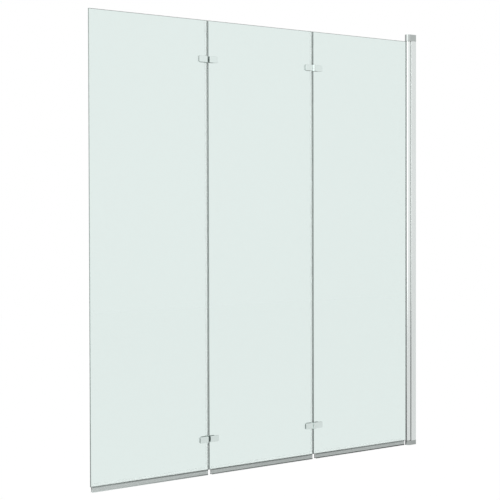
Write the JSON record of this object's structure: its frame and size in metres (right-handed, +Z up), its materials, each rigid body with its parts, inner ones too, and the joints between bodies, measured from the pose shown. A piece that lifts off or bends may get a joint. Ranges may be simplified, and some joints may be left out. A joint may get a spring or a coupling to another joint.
{
  "type": "folding bath screen",
  "caption": "Clear frameless glass bath screen whose panels fold flat on small hinges and swing on a post beside the wall.",
  "frame": {"origin": "foot of the wall unit: on the wall face (x = 0), in the middle plane of the glass (y = 0), on the bath rim (z = 0)", "axes": "+X into the wall, -X along the open screen, -Y the side seen from the front, +Z up"},
  "size_m": [1.3, 0.0272, 1.4],
  "materials": {
    "toughened_glass": "clear float glass with ground and polished edges",
    "chrome": "polished chrome plate",
    "anodised_aluminium": "bright silver anodised extrusion",
    "plated_zinc": "satin plated zinc casting",
    "stainless_steel": "turned stainless steel",
    "clear_pvc": "translucent extruded vinyl",
    "nylon": "moulded nylon",
    "grey_rubber": "soft cut sheet"
  },
  "bodies": {
    "root": {"wall_channel": "anodised_aluminium", "inner_profile": "anodised_aluminium", "inner_profile_screws": "stainless_steel", "top_block": "plated_zinc", "bottom_block": "plated_zinc", "block_screws": "stainless_steel", "top_bush": "nylon", "bottom_bush": "nylon"},
    "inner_panel": {"pivot_post": "anodised_aluminium", "top_pivot_pin": "stainless_steel", "bottom_pivot_pin": "stainless_steel", "post_gasket": "grey_rubber", "glass_panel_3": "toughened_glass", "bottom_seal_3": "clear_pvc", "joint_2_upper_inner_leaf": "chrome", "joint_2_lower_inner_leaf": "chrome", "joint_2_upper_inner_clamp": "chrome", "joint_2_lower_inner_clamp": "chrome", "panel_3_pads": "grey_rubber", "panel_3_sleeves": "nylon", "panel_3_screws": "stainless_steel"},
    "middle_panel": {"glass_panel_2": "toughened_glass", "bottom_seal_2": "clear_pvc", "joint_seal_2": "clear_pvc", "joint_2_upper_outer_leaf": "chrome", "joint_2_lower_outer_leaf": "chrome", "joint_2_upper_outer_clamp": "chrome", "joint_2_lower_outer_clamp": "chrome", "joint_2_upper_pin": "chrome", "joint_2_lower_pin": "chrome", "joint_2_washers": "nylon", "joint_1_upper_inner_leaf": "chrome", "joint_1_lower_inner_leaf": "chrome", "joint_1_upper_inner_clamp": "chrome", "joint_1_lower_inner_clamp": "chrome", "panel_2_pads": "grey_rubber", "panel_2_sleeves": "nylon", "panel_2_screws": "stainless_steel"},
    "outer_panel": {"glass_panel_1": "toughened_glass", "bottom_seal_1": "clear_pvc", "joint_seal_1": "clear_pvc", "joint_1_upper_outer_leaf": "chrome", "joint_1_lower_outer_leaf": "chrome", "joint_1_upper_outer_clamp": "chrome", "joint_1_lower_outer_clamp": "chrome", "joint_1_upper_pin": "chrome", "joint_1_lower_pin": "chrome", "joint_1_washers": "nylon", "panel_1_pads": "grey_rubber", "panel_1_sleeves": "nylon", "panel_1_screws": "stainless_steel"}
  },
  "joints": [
    {"name": "wall_pivot", "type": "hinge", "parent": "root", "child": "inner_panel", "pos_m": [-0.0279, 0, 0], "axis": [0, 0, -1], "range_deg": [0, 90]},
    {"name": "fold_2", "type": "hinge", "parent": "inner_panel", "child": "middle_panel", "pos_m": [-0.46107, -0.0094, 0], "axis": [0, 0, 1], "range_deg": [0, 180]},
    {"name": "fold_1", "type": "hinge", "parent": "middle_panel", "child": "outer_panel", "pos_m": [-0.88117, 0.0094, 0], "axis": [0, 0, -1], "range_deg": [0, 180]}
  ]
}
